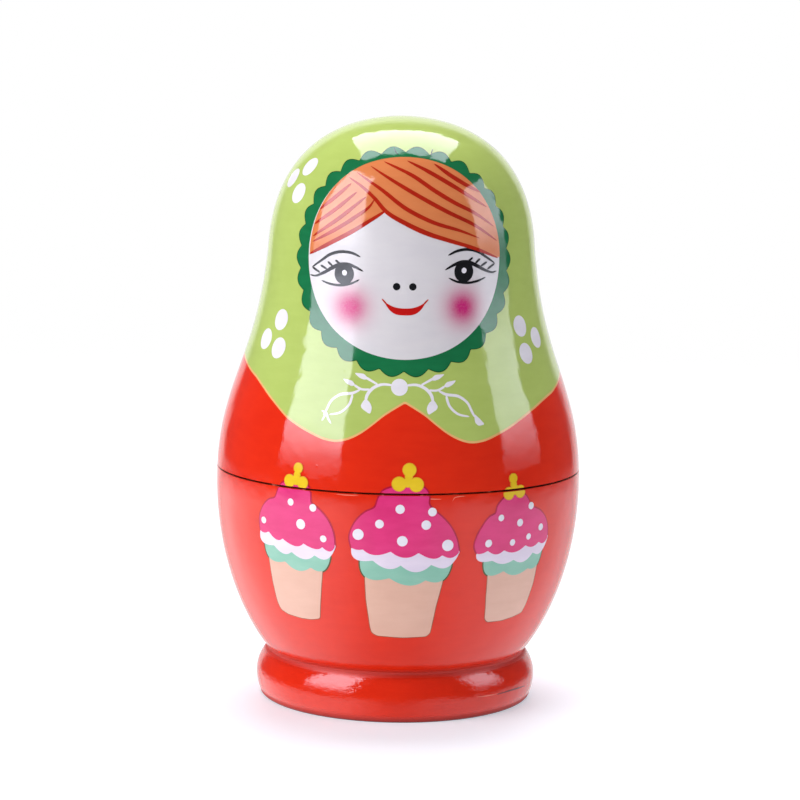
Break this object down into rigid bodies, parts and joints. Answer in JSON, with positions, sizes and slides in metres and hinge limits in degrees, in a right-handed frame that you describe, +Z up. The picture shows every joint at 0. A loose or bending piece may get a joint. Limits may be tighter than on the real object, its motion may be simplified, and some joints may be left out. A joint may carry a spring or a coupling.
{
  "type": "nesting doll",
  "caption": "Painted and lacquered wooden nesting doll that opens at the waist, with smaller dolls of the same turned shape standing one inside another.",
  "frame": {"origin": "centre of the outer doll's foot, on the surface that it stands on", "axes": "+Z up along the turning axis, painted front towards -Y, +X to the right as seen from the front"},
  "size_m": [0.0704, 0.0704, 0.112],
  "materials": {
    "dress_half": "red paint under clear gloss lacquer, bare linden wood inside",
    "scarf_half": "light green paint under clear gloss lacquer, bare linden wood inside",
    "smallest_doll": "red and light green paint under clear gloss lacquer"
  },
  "bodies": {
    "outer_base": {"outer_doll_base": "dress_half"},
    "second_base": {"second_doll_base": "dress_half"},
    "third_base": {"third_doll_base": "dress_half"},
    "fourth_base": {"fourth_doll_base": "dress_half"},
    "smallest": {"smallest_doll": "smallest_doll"},
    "fourth_top": {"fourth_doll_top": "scarf_half"},
    "third_top": {"third_doll_top": "scarf_half"},
    "second_top": {"second_doll_top": "scarf_half"},
    "outer_top": {"outer_doll_top": "scarf_half"}
  },
  "joints": [
    {"name": "second_doll_lift", "type": "slide", "parent": "outer_base", "child": "second_base", "axis": [0, 0, 1], "range_m": [0, 0.05]},
    {"name": "third_doll_lift", "type": "slide", "parent": "second_base", "child": "third_base", "axis": [0, 0, 1], "range_m": [0, 0.038]},
    {"name": "fourth_doll_lift", "type": "slide", "parent": "third_base", "child": "fourth_base", "axis": [0, 0, 1], "range_m": [0, 0.029]},
    {"name": "smallest_doll_lift", "type": "slide", "parent": "fourth_base", "child": "smallest", "axis": [0, 0, 1], "range_m": [0, 0.022]},
    {"name": "fourth_top_lift", "type": "slide", "parent": "smallest", "child": "fourth_top", "axis": [0, 0, 1], "range_m": [0, 0.0255]},
    {"name": "third_top_lift", "type": "slide", "parent": "fourth_top", "child": "third_top", "axis": [0, 0, 1], "range_m": [0, 0.0335]},
    {"name": "second_top_lift", "type": "slide", "parent": "third_top", "child": "second_top", "axis": [0, 0, 1], "range_m": [0, 0.044]},
    {"name": "outer_top_lift", "type": "slide", "parent": "second_top", "child": "outer_top", "axis": [0, 0, 1], "range_m": [0, 0.058]}
  ]
}
